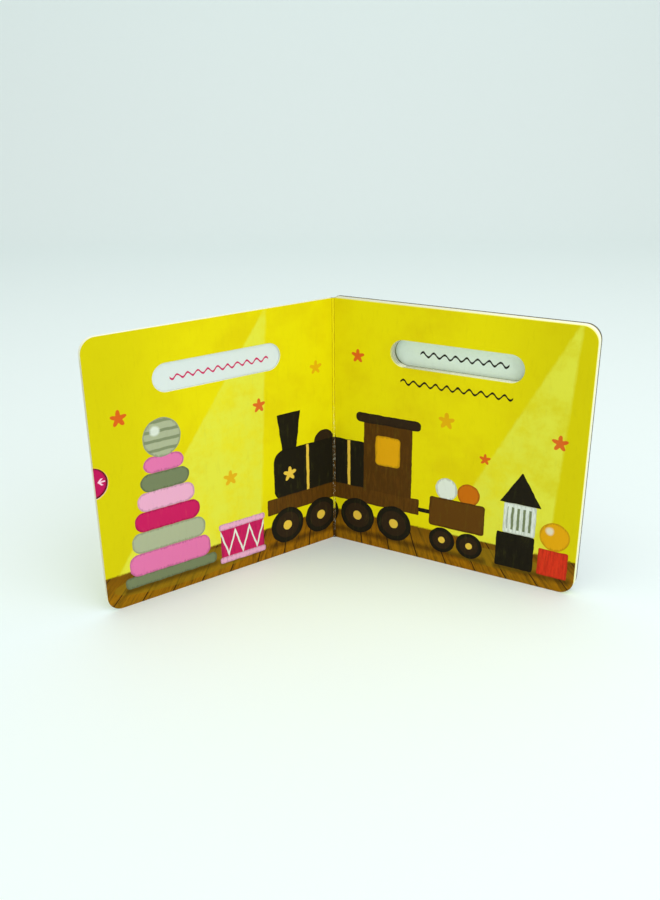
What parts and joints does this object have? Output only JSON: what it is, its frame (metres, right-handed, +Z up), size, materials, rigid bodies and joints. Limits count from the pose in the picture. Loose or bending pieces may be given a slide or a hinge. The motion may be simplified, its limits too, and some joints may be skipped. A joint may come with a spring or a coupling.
{
  "type": "board book",
  "caption": "Square board book standing open: a front cover with a name card in a pocket, a glued page block with a through window, and a back cover.",
  "frame": {"origin": "bottom centre of the open book's box, on the surface that it stands on", "axes": "+Z up; +X along the page block from the gutter to its fore edge; +Y from the open pages towards the back cover"},
  "size_m": [0.2572, 0.1698, 0.18],
  "materials": {
    "printed_page": "satin laminate over print",
    "printed_cover": "gloss laminate over print",
    "dark_cover": "gloss laminate over print",
    "grey_board": "uncoated board",
    "name_card": "gloss wipe-clean"
  },
  "bodies": {
    "pages": {"page_block": "printed_page", "spine": "dark_cover"},
    "front_cover": {"window_page": "printed_page", "pocket_frame": "grey_board", "front_board": "printed_cover"},
    "name_card": {"name_card": "name_card"},
    "back_cover": {"back_cover": "dark_cover"}
  },
  "joints": [
    {"name": "front_gutter", "type": "hinge", "parent": "pages", "child": "front_cover", "pos_m": [-0.04928, 0.07563, 0.09], "axis": [0, 0, -1], "range_deg": [-115.5, 64.5]},
    {"name": "card_slide", "type": "slide", "parent": "front_cover", "child": "name_card", "axis": [-0.4305, -0.9026, 0], "range_m": [0, 0.15]},
    {"name": "rear_gutter", "type": "hinge", "parent": "pages", "child": "back_cover", "pos_m": [-0.04928, 0.08253, 0.09], "axis": [0, 0, 1], "range_deg": [0, 180]}
  ]
}
